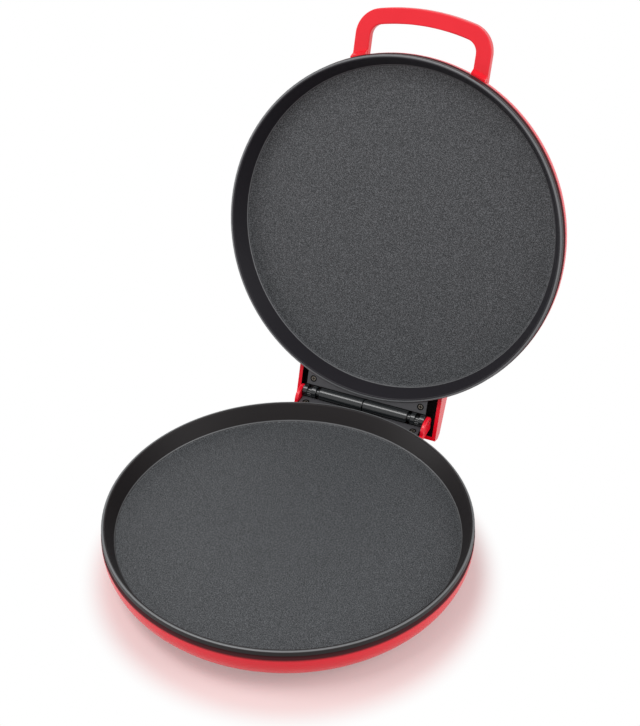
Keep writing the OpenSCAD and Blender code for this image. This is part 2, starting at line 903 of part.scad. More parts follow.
module lid_shell() {
  color(red) in_lid() difference() {
    union() {
      shell_form();
      difference() {
        along_x(-box_x1, box_x1) box_outline(0);
        along_x(-box_x0, box_x0) intersection() {
          box_outline(box_wall);
          translate([0, -box_wall]) square([box_end, 60]);
        }
        along_x(-box_x0, box_x0)
          translate([box_front - 2, box_low - 5]) square([box_end - box_wall - box_front + 2, 6]);
        half_solid(shell_wall);
      }
      // Bosses for the cover plate's screws
      intersection() {
        both_sides() translate([cover_screw_x, cover_screw_back, lid_cover_h + cover_t + seat])
          cylinder(r = 4, h = 30);
        union() {
          along_x(-box_x1, box_x1) box_outline(1);
          translate([0, 0, -1]) cylinder(r = 2*rim_r, h = box_low + 1);
        }
      }
      // Bosses for the barrels' feet
      intersection() {
        both_sides() for (x = foot_x)
          translate([x, foot_y, foot_top + seat]) cylinder(r = 3.4, h = 10);
        along_x(-box_x1, box_x1) box_outline(1);
      }
      // Posts behind the heat shield
      for (a = post_angles)
        at_polar(a, post_ring) intersection() {
          translate([0, 0, shield_h(lid_back) + reflector_t + screw_head_h + 2*seat])
            cylinder(r = post_r, h = 30);
          at_polar(0, -post_ring) half_solid(1);
        }
      // Posts for the lamp carrier
      both_sides() translate([carrier_x, -light_y, carrier_h + carrier_t + seat])
        cylinder(r = 3, h = shell_rise - carrier_h - carrier_t - seat - 1);
    }
    both_sides() translate([cover_screw_x, cover_screw_back, lid_cover_h])
      cylinder(r = screw_r + screw_fit, h = cover_t + 11);
    both_sides() for (x = foot_x)
      translate([x, foot_y, foot_top]) cylinder(r = screw_r + screw_fit, h = 4.6);
    both_sides() translate([light_pitch/2, -light_y, shell_floor - 1])
      cylinder(r = light_r + seat, h = 20);
    both_sides() translate([carrier_x, -light_y, carrier_h])
      cylinder(r = screw_r + screw_fit, h = shell_rise - carrier_h - 1);
    handle_screw_places() translate([0, 0, -1]) cylinder(r = screw_r + screw_free, h = 5);
  }
}

module lid_plate() {
  color(dark) in_lid() difference() {
    union() {
      cooking_plate(lid_depth);
      fuse_lift() fuse_place() cylinder(r = clamp_boss_r, h = sensor_boss);
      for (a = post_angles)
        at_polar(a, post_ring) translate([0, 0, lid_back + boss_drop - 2*eps])
          cylinder(r = boss_r, h = shield_h(lid_back) - lid_back - boss_drop - seat);
    }
    for (a = post_angles)
      at_polar(a, post_ring) translate([0, 0, lid_back + 1])
        cylinder(r = screw_r + screw_fit, h = 20);
    fuse_lift() fuse_place() translate([0, 0, -0.5]) cylinder(r = screw_r + screw_fit, h = 9);
  }
}

// Moves a piece placed on the lower plate's back to the upper plate's back
module fuse_lift() {
  translate([0, 0, lid_back - pan_back]) children();
}

module lid_heater() {
  color(metal) in_lid() heater(lid_back);
}

module lid_heater_clamps() {
  color(metal) in_lid() heater_clamps(lid_back);
}

module lid_clamp_screws() {
  color(metal) in_lid() {
    clamp_screws(lid_back);
    fuse_lift() fuse_place()
      translate([0, 0, sensor_boss + fuse_strap_t + 2*seat]) screw_down(fuse_screw_l);
  }
}

module lid_reflector() {
  color(metal) in_lid() reflector(lid_back, screw_r + screw_free);
}

module lid_reflector_screws() {
  color(metal) in_lid() for (a = post_angles)
    at_polar(a, post_ring)
      translate([0, 0, shield_h(lid_back) + reflector_t + seat]) screw_down(shield_screw_l);
}

module lid_thermal_fuse() {
  color(cream) in_lid() fuse_lift() sensor_fuse();
}

module lid_leads() {
  start = heater_mid + heater_open/2;
  stop = heater_mid - heater_open/2;
  tail_h = tube_h(lid_back);
  pin_turn = atan(cold_pin/heater_r);
  over_h = shield_h(lid_back) + reflector_t + 2.4;
  color("white") in_lid() {
    lead([
      polar(start - pin_turn - 1, heater_r, tail_h),
      polar(heater_mid + 3, heater_r + 2, tail_h + 2),
      polar(heater_mid + 3, heater_r + 2, over_h),
      [-20, heater_r - 50, over_h],
      [-carrier_w/4, -light_y + carrier_l/2 + 3, over_h],
      [-carrier_w/4, -light_y + carrier_l/2 + 1.5, carrier_h + carrier_t/2]
    ]);
    lead([
      polar(stop + pin_turn + 1, heater_r, tail_h),
      polar(heater_mid - 3, heater_r + 2, tail_h + 2),
      polar(heater_mid - 3, heater_r + 2, over_h),
      [20, heater_r - 50, over_h],
      [carrier_w/4, -light_y + carrier_l/2 + 3, over_h],
      [carrier_w/4, -light_y + carrier_l/2 + 1.5, carrier_h + carrier_t/2]
    ]);
  }
}

// Rounded bar of the handle; legs and front bar are a hair slimmer than the corners
module handle_section(inset) {
  r = handle_edge - inset;
  translate([-handle_w/2, handle_h]) {
    translate([handle_edge, inset]) square([handle_w - 2*handle_edge, handle_t - 2*inset]);
    translate([inset, handle_edge]) square([handle_w - 2*inset, handle_t - 2*handle_edge]);
    for (x = [handle_edge, handle_w - handle_edge])
      for (z = [handle_edge, handle_t - handle_edge])
        translate([x, z]) circle(r);
  }
}

hair = 0.03;
run_in = 0.5;

// The handle's screws start at right angles to the shell's inner face
handle_screw_h = handle_h + 1;
handle_screw_x = leg_x - 2;
handle_screw_l = 11;
handle_lift = asin((handle_screw_h - shell_rise + edge_r)/inner_edge_r);
handle_face_r = flat_r + inner_edge_r*cos(handle_lift);
handle_turn = asin(handle_screw_x/handle_face_r);

module handle_screw_places() {
  both_sides() at_polar(-90 + handle_turn, handle_face_r)
    translate([0, 0, handle_screw_h]) rotate([0, 90 - handle_lift, 0]) children();
}

module handle() {
  bar_turn = corner_turn + asin(run_in/handle_mid);
  color(red) in_lid() difference() {
    union() {
      rotate([0, 0, -90 - bar_turn]) rotate_extrude(angle = 2*bar_turn)
        translate([handle_mid, 0]) handle_section(hair);
      both_sides() {
        translate([corner_x, -corner_y, 0])
          rotate([0, 0, -90 + corner_turn]) rotate_extrude(angle = 90 - corner_turn)
            translate([handle_corner - handle_w/2, 0]) handle_section(0);
        translate([leg_x, -corner_y - run_in, 0]) rotate([90, 0, 180])
          linear_extrude(corner_y - flat_r) handle_section(hair);
        // Slanted root that follows the shell's curve
        intersection() {
          translate([leg_x - handle_w/2 + 0.3, -rim_r - root_out, handle_h - root_drop])
            cube([handle_w - 0.6, root_out + edge_r, root_drop + handle_t/2]);
          rotate_extrude() polygon([
            [flat_r, handle_h - root_drop],
            [rim_r + root_low, handle_h - root_drop],
            [rim_r + root_out, handle_h],
            [rim_r + root_out, handle_top],
            [flat_r, handle_top]
          ]);
        }
      }
    }
    half_solid(-seat);
    handle_screw_places() cylinder(r = screw_r + screw_fit, h = handle_screw_l + 0.5);
  }
}

module handle_screws() {
  color(metal) in_lid() handle_screw_places() translate([0, 0, -0.4]) screw(handle_screw_l);
}

module lid_hinge_cover() {
  color(grey) in_lid() hinge_cover(lid_cover_h)
    translate([0, 0, lid_cover_h]) linear_extrude(cover_t) cover_outline();
}

module lid_hinge_screws() {
  color(metal) in_lid() cover_screws(lid_cover_h);
}

neck_r = pin_r + 1.5;

module knuckle() {
  difference() {
    union() {
      barrel(barrel_x0, barrel_len - neck_len);
      translate([barrel_x1 - neck_len - 1, hinge_back, 0]) rotate([0, 90, 0])
        cylinder(r = neck_r, h = neck_len + 1);
      translate([barrel_x0 + leaf_inset, hinge_back - leaf_t/2, barrel_r - 2])
        cube([barrel_len - 2*leaf_inset, leaf_t, foot_top - barrel_r + 2]);
      translate([barrel_x0 + leaf_inset, hinge_back - leaf_t/2, foot_top - foot_t])
        cube([barrel_len - 2*leaf_inset, leaf_t/2 + foot_reach, foot_t]);
    }
    translate([barrel_x0 - 1, hinge_back, 0]) rotate([0, 90, 0])
      cylinder(r = pin_r + pin_fit, h = barrel_len + 2);
    for (x = foot_x)
      translate([x, foot_y, foot_top - foot_t - 1])
        cylinder(r = screw_r + screw_free, h = foot_t + 2);
  }
}

module hinge_knuckle_right() {
  color(shade) in_lid() knuckle();
}

module hinge_knuckle_left() {
  color(shade) in_lid() mirror([1, 0, 0]) knuckle();
}

module knuckle_screws() {
  color(metal) in_lid() both_sides() for (x = foot_x)
    translate([x, foot_y, foot_top - foot_t - seat]) screw(knuckle_screw_l);
}

carrier_l = 14;
carrier_t = 1.4;
carrier_h = shield_h(lid_back) + reflector_t + 1.8;
carrier_x = light_pitch/2 + light_r + 5.2;
carrier_w = 2*carrier_x + 9;

module lens() {
  translate([0, 0, shell_floor - seat - 1.2]) cylinder(r = light_r + 1.2, h = 1.2);
  translate([0, 0, shell_floor - seat - eps]) cylinder(r = light_r, h = shell_wall + 0.6);
}

module power_lens() {
  color([0.9, 0.2, 0.1]) in_lid() translate([-light_pitch/2, -light_y, 0]) lens();
}

module ready_lens() {
  color([0.2, 0.7, 0.2]) in_lid() translate([light_pitch/2, -light_y, 0]) lens();
}

module lamp_carrier() {
  color(cream) in_lid() difference() {
    translate([-carrier_w/2, -light_y - carrier_l/2, carrier_h])
      cube([carrier_w, carrier_l, carrier_t]);
    both_sides() translate([carrier_x, -light_y, carrier_h - 1])
      cylinder(r = screw_r + screw_free, h = carrier_t + 2);
  }
}

module indicator_lamps() {
  lamp_top = shell_floor - seat - 1.2 - 0.3;
  color([0.9, 0.8, 0.7]) in_lid() both_sides()
    translate([light_pitch/2, -light_y, carrier_h + carrier_t + seat])
      cylinder(r = 2, h = lamp_top - carrier_h - carrier_t - seat);
}

module carrier_screws() {
  color(metal) in_lid() both_sides()
    translate([carrier_x, -light_y, carrier_h - seat]) screw(carrier_screw_l, cover_head_h);
}

base_shell();
base_pan();
base_heater();
base_heater_clamps();
base_clamp_screws();
base_reflector();
base_pan_screws();
base_feet();
foot_screws();
thermostat();
base_thermal_fuse();
terminal_block();
terminal_screw();
base_leads();
cord_gland();
base_hinge_cover();
base_hinge_screws();
hinge_pin();
hinge_collar_left();
hinge_collar_right();
lid_shell();
lid_plate();
lid_heater();
lid_heater_clamps();
lid_clamp_screws();
lid_reflector();
lid_reflector_screws();
lid_thermal_fuse();
lid_leads();
handle();
handle_screws();
lid_hinge_cover();
lid_hinge_screws();
hinge_knuckle_left();
hinge_knuckle_right();
knuckle_screws();
power_lens();
ready_lens();
lamp_carrier();
carrier_screws();
indicator_lamps();
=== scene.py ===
import json
import math

import bpy
from mathutils import Matrix, Vector


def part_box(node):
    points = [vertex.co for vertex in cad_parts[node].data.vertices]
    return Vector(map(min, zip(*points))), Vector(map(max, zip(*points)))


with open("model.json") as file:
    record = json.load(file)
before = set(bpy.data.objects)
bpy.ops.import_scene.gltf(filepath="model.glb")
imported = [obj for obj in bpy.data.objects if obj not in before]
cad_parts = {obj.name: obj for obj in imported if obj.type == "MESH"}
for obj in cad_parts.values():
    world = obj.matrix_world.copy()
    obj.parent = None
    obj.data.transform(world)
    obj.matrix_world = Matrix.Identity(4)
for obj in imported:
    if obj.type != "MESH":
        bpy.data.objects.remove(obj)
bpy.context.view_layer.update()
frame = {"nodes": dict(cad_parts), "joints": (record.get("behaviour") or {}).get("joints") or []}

# Camera: a product view from the front right and above, with a long lens. The picture is
# 640 x 726, so the sensor's width stands for its height. It is placed from the hinge.
hinge = frame["joints"][0]
hinge_place = Vector(hinge["pos_m"])
camera_data = bpy.data.cameras.new("camera")
camera_data.sensor_width = 36.0
camera_data.lens = 71.359
camera_data.clip_start = 0.05
camera_data.clip_end = 60.0
camera = bpy.data.objects.new("camera", camera_data)
bpy.context.scene.collection.objects.link(camera)
bpy.context.scene.camera = camera
camera_azimuth = math.radians(24.03)
camera_elevation = math.radians(35.64)
camera_roll = math.radians(0.13)
camera_back = Vector((
    math.sin(camera_azimuth) * math.cos(camera_elevation),
    -math.cos(camera_azimuth) * math.cos(camera_elevation),
    math.sin(camera_elevation),
))
level_right = Vector((math.cos(camera_azimuth), math.sin(camera_azimuth), 0.0))
level_up = camera_back.cross(level_right)
camera_right = level_right * math.cos(camera_roll) + level_up * math.sin(camera_roll)
camera_up = level_up * math.cos(camera_roll) - level_right * math.sin(camera_roll)
camera_from_hinge = Vector((0.4286, -1.0697, 0.8779))
camera_place = hinge_place + camera_from_hinge
camera.matrix_world = Matrix((
    (camera_right.x, camera_up.x, camera_back.x, camera_place.x),
    (camera_right.y, camera_up.y, camera_back.y, camera_place.y),
    (camera_right.z, camera_up.z, camera_back.z, camera_place.z),
    (0.0, 0.0, 0.0, 1.0),
))
bpy.context.scene.view_settings.view_transform = "Standard"


# Floor and light: a pale sweep in a bright white studio. One wide soft box hangs over the front
# left of the cooker, two smaller ones stand at its sides, and the room is white where the eye or
# a gloss meets it.
def linear(hex_colour):
    """sRGB hex such as "#d22b3a" to linear red, green, blue and alpha."""
    channels = [int(hex_colour[i:i + 2], 16) / 255 for i in (1, 3, 5)]
    return [c / 12.92 if c <= 0.04045 else ((c + 0.055) / 1.055) ** 2.4 for c in channels] + [1.0]


def add_node(tree, kind, inputs=None, **settings):
    """Adds a node, sets its properties, and gives each named input a value or a link."""
    node = tree.nodes.new(kind)
    for name, value in settings.items():
        setattr(node, name, value)
    for name, value in (inputs or {}).items():
        if isinstance(value, bpy.types.NodeSocket):
            tree.links.new(value, node.inputs[name])
        else:
            node.inputs[name].default_value = value
    return node


def new_material(name):
    """An empty node material and its tree."""
    material = bpy.data.materials.new(name)
    material.use_nodes = True
    material.node_tree.nodes.clear()
    return material, material.node_tree


def seen_directly(tree):
    """1 where the eye looks at a thing straight, in a mirror or through glass."""
    path = add_node(tree, "ShaderNodeLightPath")
    gloss = add_node(tree, "ShaderNodeMath", {
        0: path.outputs["Is Camera Ray"], 1: path.outputs["Is Glossy Ray"]}, operation="MAXIMUM")
    return add_node(tree, "ShaderNodeMath", {
        0: gloss.outputs[0], 1: path.outputs["Is Transmission Ray"]}, operation="MAXIMUM")


floor_half = 6.0
floor_mesh = bpy.data.meshes.new("floor")
floor_mesh.from_pydata(
    [(-floor_half, -floor_half, 0), (floor_half, -floor_half, 0),
     (floor_half, floor_half, 0), (-floor_half, floor_half, 0)],
    [], [(0, 1, 2, 3)])
floor = bpy.data.objects.new("floor", floor_mesh)
bpy.context.scene.collection.objects.link(floor)
# Matt paint with no gloss. Its pinkish grey is painted red bounce light from the shells, and with
# a faint glow it makes a painted shadow disc round the base, under the cast one.
painted_shadow_floor, tree = new_material("sweep_with_painted_shadow")
white = linear("#ffffff")
shadow_lift = 0.22
paint = add_node(tree, "ShaderNodeBsdfDiffuse", {"Color": linear("#d3bfbe")})
lift = add_node(tree, "ShaderNodeEmission", {"Color": white, "Strength": shadow_lift})
white_room = add_node(tree, "ShaderNodeEmission", {"Color": white, "Strength": 1.0})
seen = seen_directly(tree)
# The painted shadow fades into the white room outside a disc round the base
shadow_centre = (0.01, -0.088, 0.0)
shadow_full = 0.165
shadow_end = 0.197
place = add_node(tree, "ShaderNodeTexCoord")
away = add_node(tree, "ShaderNodeVectorMath", {0: place.outputs["Object"], 1: shadow_centre},
                operation="DISTANCE")
fade = add_node(tree, "ShaderNodeMapRange", {0: away.outputs["Value"], 1: shadow_full,
                                             2: shadow_end}, interpolation_type="SMOOTHSTEP")
# Paint plus an even glow: the painted shadow, lighter near the base than the lamps leave it
lit = add_node(tree, "ShaderNodeAddShader", {0: paint.outputs[0], 1: lift.outputs[0]})
faded = add_node(tree, "ShaderNodeMixShader", {0: fade.outputs[0], 1: lit.outputs[0],
                                               2: white_room.outputs[0]})
shown = add_node(tree, "ShaderNodeMixShader", {0: seen.outputs[0], 1: paint.outputs[0],
                                               2: faded.outputs[0]})
add_node(tree, "ShaderNodeOutputMaterial", {"Surface": shown.outputs[0]})
floor_mesh.materials.append(painted_shadow_floor)

room_light = 0.55
world = bpy.data.worlds.new("white_room")
bpy.context.scene.world = world
world.use_nodes = True
tree = world.node_tree
tree.nodes.clear()
room = add_node(tree, "ShaderNodeBackground", {"Color": white, "Strength": room_light})
white_walls = add_node(tree, "ShaderNodeBackground", {"Color": white, "Strength": 1.0})
shown = add_node(tree, "ShaderNodeMixShader", {0: seen_directly(tree).outputs[0],
                                               1: room.outputs[0], 2: white_walls.outputs[0]})
add_node(tree, "ShaderNodeOutputWorld", {"Surface": shown.outputs[0]})

soft_boxes = [
    # name, place in metres, width, height, watts
    ("soft_box_over", (-0.55, -0.65, 2.1), 1.4, 0.7, 19.0),
    ("soft_box_left", (-1.6, -0.9, 0.4), 0.9, 0.8, 7.5),
    ("soft_box_right", (1.5, 0.0, 1.0), 0.9, 1.2, 10.0),
]
aim = Vector((0.0, 0.05, 0.15))
for name, place, width, height, watts in soft_boxes:
    lamp = bpy.data.lights.new(name, "AREA")
    lamp.shape = "RECTANGLE"
    lamp.size = width
    lamp.size_y = height
    lamp.energy = watts
    holder = bpy.data.objects.new(name, lamp)
    holder.location = place
    holder.rotation_mode = "QUATERNION"
    holder.rotation_quaternion = (aim - Vector(place)).to_track_quat("-Z", "Y")
    bpy.context.scene.collection.objects.link(holder)

# Shells: two ABS mouldings, dyed through and polished in the tool, so they are glossy with a
# faint orange peel. The lower one carries the hinge ears, the upper one the hinge box. Inside the
# box and the trough under the barrels near black is painted as shade, so the gaps there look
# dark.
rim_to_hinge = 0.1788
rim_radius = 0.170
open_angle = math.radians(hinge["range_deg"][1])
half_frames = {
    # way from the hinge to the rim's centre, turn of the half's own axes
    "base": (Vector((0.0, -1.0, 0.0)), (0.0, math.pi, 0.0)),
    "lid": (Vector((0.0, -math.cos(open_angle), math.sin(open_angle))), (-open_angle, 0.0, 0.0)),
}


def half_place(tree, half):
    """X, Y and Z from a half's rim centre, with +Y to the hinge and +Z into its shell."""
    forward, turn = half_frames[half]
    place = add_node(tree, "ShaderNodeTexCoord")
    own = add_node(tree, "ShaderNodeMapping", {
        "Vector": place.outputs["Object"], "Location": hinge_place + forward * rim_to_hinge,
        "Rotation": turn}, vector_type="TEXTURE")
    return add_node(tree, "ShaderNodeSeparateXYZ", {0: own.outputs[0]})


def dress(names, material):
    """Gives CAD nodes one material in all their slots."""
    for name in names:
        mesh = frame["nodes"][name].data
        if not mesh.materials:
            mesh.materials.append(material)
        for i in range(len(mesh.materials)):
            mesh.materials[i] = material


def rim_distance(tree, at):
    """Distance from the axis through the rim's centre."""
    flat = add_node(tree, "ShaderNodeCombineXYZ", {0: at.outputs["X"], 1: at.outputs["Y"]})
    return add_node(tree, "ShaderNodeVectorMath", {0: flat.outputs[0]}, operation="LENGTH")


def all_of(tree, masks):
    """1 where every mask is 1."""
    product = masks[0]
    for mask in masks[1:]:
        product = add_node(tree, "ShaderNodeMath", {0: product.outputs[0], 1: mask.outputs[0]},
                           operation="MULTIPLY")
    return product


box_inside = 0.07305
box_wall_start = 0.19604
box_roof_at_hinge = 0.0205
box_roof_slope = math.tan(math.radians(9.5))
box_front = rim_radius - 0.042
trough_inside = 0.0659
trough_floor = 0.0105
trough_wall_start = rim_to_hinge + 0.012
bevel_end = 0.0088
red_from = 0.0114
round_edge = rim_radius + 0.0012
for half, inside, wall_start, roof, slope in (
        ("base", trough_inside, trough_wall_start, trough_floor, 0.0),
        ("lid", box_inside, box_wall_start, box_roof_at_hinge, box_roof_slope)):
    shell_red, tree = new_material("polished_red_abs_" + half)
    at = half_place(tree, half)
    # The painted shade lies between the side walls, before the back wall and under the roof
    sideways = add_node(tree, "ShaderNodeMath", {0: at.outputs["X"]}, operation="ABSOLUTE")
    between_walls = add_node(tree, "ShaderNodeMath", {0: sideways.outputs[0], 1: inside},
                             operation="LESS_THAN")
    before_wall = add_node(tree, "ShaderNodeMath", {0: at.outputs["Y"], 1: wall_start},
                           operation="LESS_THAN")
    near_hinge = add_node(tree, "ShaderNodeMath", {0: at.outputs["Y"], 1: box_front},
                          operation="GREATER_THAN")
    level = add_node(tree, "ShaderNodeMath", {0: at.outputs["Y"], 1: slope, 2: at.outputs["Z"]},
                     operation="MULTIPLY_ADD")
    under_roof = add_node(tree, "ShaderNodeMath", {
        0: level.outputs[0], 1: roof + slope * rim_to_hinge}, operation="LESS_THAN")
    painted_box_shade = all_of(tree, [between_walls, before_wall, near_hinge, under_roof])
    # Under the rim the moulding's bevel is matt, and dark crimson is painted on it as the shade
    # of the rim's overhang. The line fades into the red, and runs round the shell but not on the
    # ears and the box.
    radius = rim_distance(tree, at)
    within = add_node(tree, "ShaderNodeMath", {0: radius.outputs["Value"], 1: round_edge},
                      operation="LESS_THAN")
    high = add_node(tree, "ShaderNodeMapRange", {0: at.outputs["Z"], 1: bevel_end,
                                                 2: red_from, 3: 1.0, 4: 0.0})
    bevel = all_of(tree, [within, high])
    # The dye is not quite even: clouds about 70 mm wide
    place = add_node(tree, "ShaderNodeTexCoord")
    cloud = add_node(tree, "ShaderNodeTexNoise", {"Vector": place.outputs["Object"],
                                                  "Scale": 14.0, "Detail": 2.0})
    dye = add_node(tree, "ShaderNodeMix", {0: cloud.outputs[0], 6: linear("#e8132a"),
                                           7: linear("#f21930")}, data_type="RGBA")
    # Painted shade: dark crimson on the bevel under the rim
    dye_with_rim_shade = add_node(tree, "ShaderNodeMix", {0: bevel.outputs[0], 6: dye.outputs[2],
                                               7: linear("#3c050d")}, data_type="RGBA")
    # Painted shade: near black inside the hinge box and the trough
    tint = add_node(tree, "ShaderNodeMix", {0: painted_box_shade.outputs[0], 6: dye_with_rim_shade.outputs[2],
                                            7: linear("#120608")}, data_type="RGBA")
    matt = add_node(tree, "ShaderNodeMath", {0: bevel.outputs[0], 1: painted_box_shade.outputs[0]},
                    operation="MAXIMUM")
    # Orange peel of a polished moulding, about 3 mm from crest to crest
    peel = add_node(tree, "ShaderNodeTexNoise", {"Vector": place.outputs["Object"],
                                                 "Scale": 330.0, "Detail": 1.0})
    relief = add_node(tree, "ShaderNodeBump", {"Height": peel.outputs[0], "Strength": 0.04,
                                               "Distance": 0.0004})
    # Wipe marks 17 mm apart make the gloss uneven; the bevel and the box's inside are matt
    wipes = add_node(tree, "ShaderNodeTexNoise", {"Vector": place.outputs["Object"],
                                                  "Scale": 60.0, "Detail": 4.0})
    gloss = add_node(tree, "ShaderNodeMapRange", {0: wipes.outputs[0], 3: 0.2, 4: 0.3})
    rough = add_node(tree, "ShaderNodeMix", {0: matt.outputs[0], 2: gloss.outputs[0], 3: 0.8})
    plastic = add_node(tree, "ShaderNodeBsdfPrincipled", {
        "Base Color": tint.outputs[2], "Roughness": rough.outputs[0], "IOR": 1.53,
        "Specular IOR Level": 0.35, "Normal": relief.outputs[0]})
    add_node(tree, "ShaderNodeOutputMaterial", {"Surface": plastic.outputs[0]})
    dress([half + "_shell"], shell_red)

# Handle: a flat loop of the same ABS, moulded apart in a slightly brighter red. Two screws
# from inside the lid's shell hold its legs. The dye clouds over 40 mm, and the orange peel is
# 2.5 mm from crest to crest.
handle_red, tree = new_material("bright_red_abs")
place = add_node(tree, "ShaderNodeTexCoord")
cloud = add_node(tree, "ShaderNodeTexNoise", {"Vector": place.outputs["Object"],
                                              "Scale": 25.0, "Detail": 2.0})
tint = add_node(tree, "ShaderNodeMix", {0: cloud.outputs[0], 6: linear("#e61b2a"),
                                        7: linear("#f02332")}, data_type="RGBA")
peel = add_node(tree, "ShaderNodeTexNoise", {"Vector": place.outputs["Object"],
                                             "Scale": 400.0, "Detail": 1.0})
relief = add_node(tree, "ShaderNodeBump", {"Height": peel.outputs[0], "Strength": 0.02,
                                           "Distance": 0.0003})
# Hands dull the gloss in patches 18 mm wide, about as wide as a finger
touch = add_node(tree, "ShaderNodeTexNoise", {"Vector": place.outputs["Object"],
                                              "Scale": 55.0, "Detail": 3.0})
gloss = add_node(tree, "ShaderNodeMapRange", {0: touch.outputs[0], 3: 0.26, 4: 0.34})
plastic = add_node(tree, "ShaderNodeBsdfPrincipled", {
    "Base Color": tint.outputs[2], "Roughness": gloss.outputs[0], "IOR": 1.53,
    "Specular IOR Level": 0.35, "Normal": relief.outputs[0]})
add_node(tree, "ShaderNodeOutputMaterial", {"Surface": plastic.outputs[0]})
dress(["handle"], handle_red)

# Cooking plates: cast aluminium under a sprayed non-stick coat. The floors are blasted first
# and stay speckled and matt; the walls and rims are smooth and mirror the room dimly. A bright
# line is painted where each wall turns into its floor, as a highlight, and one round each rim's
# edge, partly wear of the thin coat and partly painted highlight.
def band(tree, socket, middle, half_width):
    """1 near a value, with soft sides that end half_width from it."""
    off = add_node(tree, "ShaderNodeMath", {0: socket, 1: middle}, operation="SUBTRACT")
    far = add_node(tree, "ShaderNodeMath", {0: off.outputs[0]}, operation="ABSOLUTE")
    return add_node(tree, "ShaderNodeMapRange", {0: far.outputs[0], 1: half_width * 0.4,
                                                 2: half_width, 3: 1.0, 4: 0.0})


corner_top = 0.0009
corner_foot = 0.0003
turn_height = 0.0013
turn_half_width = 0.0006
turn_shine = 0.42
rim_line_width = 0.0024
skirt_from = 0.0012
skirt_face = rim_radius - 0.0003
for name, half, floor_depth, wall_tone, wear_and_highlight in (
        ("base_pan", "base", 0.0175, "#191516", 0.55),
        ("lid_plate", "lid", 0.0188, "#1e1c21", 0.5)):
    plate_coat, tree = new_material("speckled_non_stick_" + name)
    at = half_place(tree, half)
    radius = rim_distance(tree, at)
    on_floor = add_node(tree, "ShaderNodeMapRange", {
        0: at.outputs["Z"], 1: floor_depth - corner_top, 2: floor_depth - corner_foot})
    # Painted highlights: a line where the wall turns into the floor, and one on the rim's outer
    # edge, where wear also thins the coat
    turn_line = band(tree, at.outputs["Z"], floor_depth - turn_height, turn_half_width)
    line_shine = add_node(tree, "ShaderNodeMath", {0: turn_line.outputs[0], 1: turn_shine},
                          operation="MULTIPLY")
    on_rim = add_node(tree, "ShaderNodeMapRange", {
        0: at.outputs["Z"], 1: skirt_from / 2, 2: skirt_from, 3: wear_and_highlight, 4: 0.0})
    rim_line = all_of(tree, [band(tree, radius.outputs["Value"], rim_radius - rim_line_width / 2,
                                  rim_line_width / 2), on_rim])
    painted_highlight_lines = add_node(tree, "ShaderNodeMath", {0: line_shine.outputs[0],
                                               1: rim_line.outputs[0]}, operation="MAXIMUM")
    place = add_node(tree, "ShaderNodeTexCoord")
    # Pale specks of the sprayed coat. The real ones are about 0.5 mm; 0.8 mm shows here.
    specks = add_node(tree, "ShaderNodeTexVoronoi", {"Vector": place.outputs["Object"],
                                                     "Scale": 1250.0}, feature="F1")
    mottle = add_node(tree, "ShaderNodeTexNoise", {"Vector": place.outputs["Object"],
                                                   "Scale": 900.0, "Detail": 3.0,
                                                   "Roughness": 0.7})
    grain = add_node(tree, "ShaderNodeMath", {0: specks.outputs["Distance"],
                                              1: mottle.outputs[0]}, operation="MULTIPLY")
    shade = add_node(tree, "ShaderNodeMapRange", {0: grain.outputs[0], 1: 0.12, 2: 0.4})
    floor_tone = add_node(tree, "ShaderNodeMix", {0: shade.outputs[0], 6: linear("#151719"),
                                                  7: linear("#646669")}, data_type="RGBA")
    # Painted shade: the skirt's outer face, in the shade of the shell's lip, is painted near
    # black
    outside = add_node(tree, "ShaderNodeMapRange", {0: at.outputs["Z"], 1: skirt_from,
                                                    2: 2 * skirt_from})
    beyond = add_node(tree, "ShaderNodeMath", {0: radius.outputs["Value"], 1: skirt_face},
                      operation="GREATER_THAN")
    painted_skirt_shade = all_of(tree, [outside, beyond])
    wall = add_node(tree, "ShaderNodeMix", {0: painted_skirt_shade.outputs[0], 6: linear(wall_tone),
                                            7: linear("#141213")}, data_type="RGBA")
    coat_tone = add_node(tree, "ShaderNodeMix", {0: on_floor.outputs[0], 6: wall.outputs[2],
                                                 7: floor_tone.outputs[2]}, data_type="RGBA")
    # Painted highlight: the bright lines mix in a light metal tone
    tone = add_node(tree, "ShaderNodeMix", {0: painted_highlight_lines.outputs[0], 6: coat_tone.outputs[2],
                                            7: linear("#9a9c9e")}, data_type="RGBA")
    metal = add_node(tree, "ShaderNodeMapRange", {0: painted_highlight_lines.outputs[0], 3: 0.05, 4: 0.9})
    rough = add_node(tree, "ShaderNodeMapRange", {0: on_floor.outputs[0], 3: 0.45, 4: 0.55})
    bumps = add_node(tree, "ShaderNodeMath", {0: grain.outputs[0], 1: on_floor.outputs[0]},
                     operation="MULTIPLY")
    relief = add_node(tree, "ShaderNodeBump", {"Height": bumps.outputs[0], "Strength": 0.35,
                                               "Distance": 0.0006})
    coat = add_node(tree, "ShaderNodeBsdfPrincipled", {
        "Base Color": tone.outputs[2], "Roughness": rough.outputs[0], "IOR": 1.35,
        "Metallic": metal.outputs[0], "Normal": relief.outputs[0]})
    add_node(tree, "ShaderNodeOutputMaterial", {"Surface": coat.outputs[0]})
    dress([name], plate_coat)

